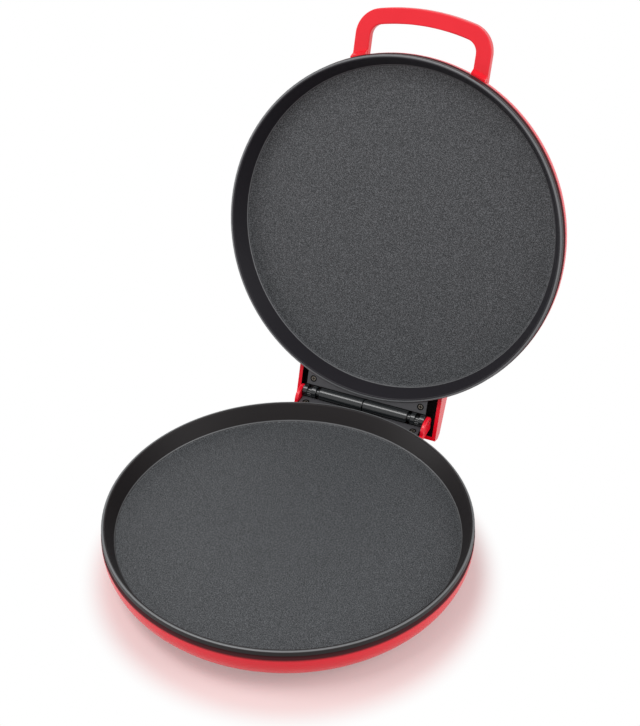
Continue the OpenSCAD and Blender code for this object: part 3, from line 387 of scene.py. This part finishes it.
# Hinge covers: two dark grey glass-filled nylon plates that close the gap between rims and
# barrels, each held by two sunk screws. Spark-eroded grain leaves them satin. The real grain
# is about 0.3 mm; 1.1 mm shows here.
pocket_top = 0.0001
pocket_wall = 0.0003
for half, face in (("base", 0.004), ("lid", 0.002)):
    cover_grey, tree = new_material("grained_grey_nylon_" + half)
    at = half_place(tree, half)
    painted_pocket_shade = add_node(tree, "ShaderNodeMapRange", {0: at.outputs["Z"], 1: face + pocket_top,
                                                 2: face + pocket_wall})
    place = add_node(tree, "ShaderNodeTexCoord")
    grain = add_node(tree, "ShaderNodeTexNoise", {"Vector": place.outputs["Object"],
                                                  "Scale": 900.0, "Detail": 4.0,
                                                  "Roughness": 0.8})
    dye = add_node(tree, "ShaderNodeMix", {0: grain.outputs[0], 6: linear("#3c3c3f"),
                                           7: linear("#4b4a4d")}, data_type="RGBA")
    # Painted shade: the screw pockets are painted near black
    tint = add_node(tree, "ShaderNodeMix", {0: painted_pocket_shade.outputs[0], 6: dye.outputs[2],
                                            7: linear("#0d0c0d")}, data_type="RGBA")
    relief = add_node(tree, "ShaderNodeBump", {"Height": grain.outputs[0], "Strength": 0.3,
                                               "Distance": 0.0003})
    plastic = add_node(tree, "ShaderNodeBsdfPrincipled", {
        "Base Color": tint.outputs[2], "Roughness": 0.45, "IOR": 1.53,
        "Normal": relief.outputs[0]})
    add_node(tree, "ShaderNodeOutputMaterial", {"Surface": plastic.outputs[0]})
    dress([half + "_hinge_cover"], cover_grey)

# Hinge barrels and collars: black acetal, moulded and polished, so that they carry one long
# sharp highlight. The barrels turn with the lid round the pin; the collars stay on the base.
barrel_black, tree = new_material("polished_black_acetal")
place = add_node(tree, "ShaderNodeTexCoord")
drawn_out = add_node(tree, "ShaderNodeMapping", {"Vector": place.outputs["Object"],
                                                 "Scale": (400.0, 3000.0, 3000.0)})
# Scuffs lie along the barrels, 2.5 mm long and 0.3 mm wide, and make the highlight uneven
scuffs = add_node(tree, "ShaderNodeTexNoise", {"Vector": drawn_out.outputs[0], "Scale": 1.0,
                                               "Detail": 3.0})
gloss = add_node(tree, "ShaderNodeMapRange", {0: scuffs.outputs[0], 3: 0.1, 4: 0.18})
tint = add_node(tree, "ShaderNodeMix", {0: scuffs.outputs[0], 6: linear("#121517"),
                                        7: linear("#1e2123")}, data_type="RGBA")
plastic = add_node(tree, "ShaderNodeBsdfPrincipled", {
    "Base Color": tint.outputs[2], "Roughness": gloss.outputs[0], "IOR": 1.55})
add_node(tree, "ShaderNodeOutputMaterial", {"Surface": plastic.outputs[0]})
dress(["hinge_knuckle_left", "hinge_knuckle_right", "hinge_collar_left",
       "hinge_collar_right"], barrel_black)

# Cover screws: small pan-head screws in browned steel, sunk in the covers. A black cross in their
# recesses and a black ring round their edges are painted shade on a dull disc.
head_radius = 0.003
screw_to_hinge = 0.0132
cross_top = 0.0002
cross_wall = 0.0005
edge_start = head_radius * 0.68
edge_black = head_radius * 0.8
for half, head_face in (("base", 0.00425), ("lid", 0.00225)):
    browned, tree = new_material("browned_steel_" + half)
    at = half_place(tree, half)
    painted_recess_shade = add_node(tree, "ShaderNodeMapRange", {0: at.outputs["Z"], 1: head_face + cross_top,
                                                  2: head_face + cross_wall})
    place = add_node(tree, "ShaderNodeTexCoord")
    patina = add_node(tree, "ShaderNodeTexNoise", {"Vector": place.outputs["Object"],
                                                   "Scale": 700.0, "Detail": 5.0})
    steel_tone = add_node(tree, "ShaderNodeMix", {0: patina.outputs[0], 6: linear("#6b655e"),
                                                  7: linear("#8a8379")}, data_type="RGBA")
    # Browning comes in spots of 1.4 mm; black shade round the head's edge is painted
    sideways = add_node(tree, "ShaderNodeMath", {0: at.outputs["X"]}, operation="ABSOLUTE")
    on_face = add_node(tree, "ShaderNodeCombineXYZ", {0: sideways.outputs[0],
                                                      1: at.outputs["Y"]})
    screw_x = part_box(half + "_hinge_screws")[1][0] - head_radius
    outward = add_node(tree, "ShaderNodeVectorMath", {
        0: on_face.outputs[0], 1: (screw_x, rim_to_hinge - screw_to_hinge, 0.0)},
        operation="DISTANCE")
    painted_edge_shade = add_node(tree, "ShaderNodeMapRange", {0: outward.outputs["Value"], 1: edge_start,
                                                 2: edge_black})
    black = add_node(tree, "ShaderNodeMath", {0: painted_recess_shade.outputs[0], 1: painted_edge_shade.outputs[0]},
                     operation="MAXIMUM")
    # Painted shade: black in the cross recess and round the head's edge
    tint = add_node(tree, "ShaderNodeMix", {0: black.outputs[0], 6: steel_tone.outputs[2],
                                            7: linear("#080706")}, data_type="RGBA")
    rough = add_node(tree, "ShaderNodeMapRange", {0: patina.outputs[0], 3: 0.35, 4: 0.55})
    steel = add_node(tree, "ShaderNodeBsdfPrincipled", {
        "Base Color": tint.outputs[2], "Metallic": 0.9, "Roughness": rough.outputs[0]})
    add_node(tree, "ShaderNodeOutputMaterial", {"Surface": steel.outputs[0]})
    dress([half + "_hinge_screws"], browned)

# Pin, clamps and the other screws: drawn steel with a thin zinc coat, dull silver with drawing
# lines along the pin. The real lines are under 0.1 mm apart; 0.4 mm shows here.
zinc_steel, tree = new_material("zinc_plated_steel")
place = add_node(tree, "ShaderNodeTexCoord")
drawn = add_node(tree, "ShaderNodeMapping", {"Vector": place.outputs["Object"],
                                             "Scale": (60.0, 2500.0, 2500.0)})
lines = add_node(tree, "ShaderNodeTexNoise", {"Vector": drawn.outputs[0], "Scale": 1.0,
                                              "Detail": 4.0})
tint = add_node(tree, "ShaderNodeMix", {0: lines.outputs[0], 6: linear("#b9bbbc"),
                                        7: linear("#d3d4d2")}, data_type="RGBA")
rough = add_node(tree, "ShaderNodeMapRange", {0: lines.outputs[0], 3: 0.25, 4: 0.42})
steel = add_node(tree, "ShaderNodeBsdfPrincipled", {
    "Base Color": tint.outputs[2], "Metallic": 1.0, "Roughness": rough.outputs[0]})
add_node(tree, "ShaderNodeOutputMaterial", {"Surface": steel.outputs[0]})
dress(["hinge_pin", "knuckle_screws", "base_pan_screws", "foot_screws", "handle_screws",
       "base_clamp_screws", "lid_clamp_screws", "lid_reflector_screws", "terminal_screw",
       "carrier_screws", "base_heater_clamps", "lid_heater_clamps"], zinc_steel)

# Feet and cord bush: moulded black rubber, matt, with dust in patches of 3 mm. A screw holds
# each foot, and the bush sits in a boss of the lower shell.
foot_rubber, tree = new_material("moulded_black_rubber")
place = add_node(tree, "ShaderNodeTexCoord")
dust = add_node(tree, "ShaderNodeTexNoise", {"Vector": place.outputs["Object"],
                                             "Scale": 300.0, "Detail": 5.0})
tint = add_node(tree, "ShaderNodeMix", {0: dust.outputs[0], 6: linear("#1c1c1d"),
                                        7: linear("#303031")}, data_type="RGBA")
relief = add_node(tree, "ShaderNodeBump", {"Height": dust.outputs[0], "Strength": 0.25,
                                           "Distance": 0.0003})
rubber = add_node(tree, "ShaderNodeBsdfPrincipled", {
    "Base Color": tint.outputs[2], "Roughness": 0.75, "IOR": 1.52, "Normal": relief.outputs[0]})
add_node(tree, "ShaderNodeOutputMaterial", {"Surface": rubber.outputs[0]})
dress(["base_feet", "cord_gland"], foot_rubber)

# Lights on the lid: a red and a green lens of clear acrylic, lit by two small glow lamps on a
# strip behind them. The acrylic is ribbed every 2 mm so that the light spreads.
for name, dye in (("power_lens", "#a90f0a"), ("ready_lens", "#17a03a")):
    lens_dye, tree = new_material("clear_acrylic_" + name)
    place = add_node(tree, "ShaderNodeTexCoord")
    ribs = add_node(tree, "ShaderNodeTexWave", {"Vector": place.outputs["Object"],
                                                "Scale": 160.0})
    relief = add_node(tree, "ShaderNodeBump", {"Height": ribs.outputs[1], "Strength": 0.2,
                                               "Distance": 0.0003})
    acrylic = add_node(tree, "ShaderNodeBsdfPrincipled", {
        "Base Color": linear(dye), "Roughness": 0.12, "IOR": 1.49,
        "Transmission Weight": 0.2, "Normal": relief.outputs[0]})
    add_node(tree, "ShaderNodeOutputMaterial", {"Surface": acrylic.outputs[0]})
    dress([name], lens_dye)

# The lamps' blown glass has a warm tint and a slight haze in patches of about 1 mm
lamp_glass, tree = new_material("glow_lamp_glass")
place = add_node(tree, "ShaderNodeTexCoord")
haze = add_node(tree, "ShaderNodeTexNoise", {"Vector": place.outputs["Object"], "Scale": 900.0})
rough = add_node(tree, "ShaderNodeMapRange", {0: haze.outputs[0], 3: 0.05, 4: 0.2})
glass = add_node(tree, "ShaderNodeBsdfPrincipled", {
    "Base Color": linear("#f3d9c0"), "Roughness": rough.outputs[0], "IOR": 1.5,
    "Transmission Weight": 0.8})
add_node(tree, "ShaderNodeOutputMaterial", {"Surface": glass.outputs[0]})
dress(["indicator_lamps"], lamp_glass)

# Terminal block and lamp strip: pressed phenolic, cream and matt, with the flow marks of the
# press about 4 mm apart. Screws hold them inside the shells.
phenolic, tree = new_material("pressed_phenolic")
place = add_node(tree, "ShaderNodeTexCoord")
flow = add_node(tree, "ShaderNodeTexNoise", {"Vector": place.outputs["Object"],
                                             "Scale": 240.0, "Detail": 4.0, "Distortion": 1.5})
tint = add_node(tree, "ShaderNodeMix", {0: flow.outputs[0], 6: linear("#d3cab0"),
                                        7: linear("#e6dfc9")}, data_type="RGBA")
resin = add_node(tree, "ShaderNodeBsdfPrincipled", {
    "Base Color": tint.outputs[2], "Roughness": 0.55, "IOR": 1.6})
add_node(tree, "ShaderNodeOutputMaterial", {"Surface": resin.outputs[0]})
dress(["terminal_block", "lamp_carrier"], phenolic)

# Thermostat and thermal fuses: unglazed steatite bodies, pressed and fired, so they are
# off-white and chalky. The real grain is too fine to see; 0.8 mm shows here.
steatite, tree = new_material("unglazed_steatite")
place = add_node(tree, "ShaderNodeTexCoord")
chalk = add_node(tree, "ShaderNodeTexNoise", {"Vector": place.outputs["Object"],
                                              "Scale": 1200.0, "Detail": 5.0})
tint = add_node(tree, "ShaderNodeMix", {0: chalk.outputs[0], 6: linear("#d9d2c4"),
                                        7: linear("#ece7dc")}, data_type="RGBA")
relief = add_node(tree, "ShaderNodeBump", {"Height": chalk.outputs[0], "Strength": 0.2,
                                           "Distance": 0.0002})
ceramic = add_node(tree, "ShaderNodeBsdfPrincipled", {
    "Base Color": tint.outputs[2], "Roughness": 0.8, "IOR": 1.55, "Normal": relief.outputs[0]})
add_node(tree, "ShaderNodeOutputMaterial", {"Surface": ceramic.outputs[0]})
dress(["thermostat", "base_thermal_fuse", "lid_thermal_fuse"], steatite)

# Heating elements: steel tubes packed with magnesia round a coil, bent to an open ring and held
# on the plates by clamps. Their own heat browns them in clouds about 20 mm wide.
tube_steel, tree = new_material("heat_browned_steel")
place = add_node(tree, "ShaderNodeTexCoord")
bloom = add_node(tree, "ShaderNodeTexNoise", {"Vector": place.outputs["Object"],
                                              "Scale": 45.0, "Detail": 5.0})
tint = add_node(tree, "ShaderNodeMix", {0: bloom.outputs[0], 6: linear("#4f4740"),
                                        7: linear("#7d7068")}, data_type="RGBA")
rough = add_node(tree, "ShaderNodeMapRange", {0: bloom.outputs[0], 3: 0.4, 4: 0.65})
steel = add_node(tree, "ShaderNodeBsdfPrincipled", {
    "Base Color": tint.outputs[2], "Metallic": 0.9, "Roughness": rough.outputs[0]})
add_node(tree, "ShaderNodeOutputMaterial", {"Surface": steel.outputs[0]})
dress(["base_heater", "lid_heater"], tube_steel)

# Heat shields: dishes pressed from thin rolled aluminium, bright, with rolling lines in one
# direction. The real lines are finer; 0.7 mm apart shows here.
shield_metal, tree = new_material("rolled_aluminium")
place = add_node(tree, "ShaderNodeTexCoord")
rolled = add_node(tree, "ShaderNodeMapping", {"Vector": place.outputs["Object"],
                                              "Scale": (1500.0, 20.0, 20.0)})
lines = add_node(tree, "ShaderNodeTexNoise", {"Vector": rolled.outputs[0], "Scale": 1.0,
                                              "Detail": 4.0})
tint = add_node(tree, "ShaderNodeMix", {0: lines.outputs[0], 6: linear("#d4d5d6"),
                                        7: linear("#e8e8e8")}, data_type="RGBA")
rough = add_node(tree, "ShaderNodeMapRange", {0: lines.outputs[0], 3: 0.2, 4: 0.34})
sheet_metal = add_node(tree, "ShaderNodeBsdfPrincipled", {
    "Base Color": tint.outputs[2], "Metallic": 1.0, "Roughness": rough.outputs[0]})
add_node(tree, "ShaderNodeOutputMaterial", {"Surface": sheet_metal.outputs[0]})
dress(["base_reflector", "lid_reflector"], shield_metal)

# Leads: copper in a braided glass-fibre sleeve, off-white. The 1 mm braid shows as small cells
# with darker edges.
sleeve_braid, tree = new_material("glass_fibre_braid")
place = add_node(tree, "ShaderNodeTexCoord")
braid = add_node(tree, "ShaderNodeTexVoronoi", {"Vector": place.outputs["Object"],
                                                "Scale": 1000.0})
tint = add_node(tree, "ShaderNodeMix", {0: braid.outputs["Distance"], 6: linear("#ecebe6"),
                                        7: linear("#c9c6bc")}, data_type="RGBA")
relief = add_node(tree, "ShaderNodeBump", {"Height": braid.outputs["Distance"],
                                           "Strength": 0.4, "Distance": 0.0003})
fibre = add_node(tree, "ShaderNodeBsdfPrincipled", {
    "Base Color": tint.outputs[2], "Roughness": 0.7, "IOR": 1.5, "Normal": relief.outputs[0]})
add_node(tree, "ShaderNodeOutputMaterial", {"Surface": fibre.outputs[0]})
dress(["base_leads", "lid_leads"], sleeve_braid)
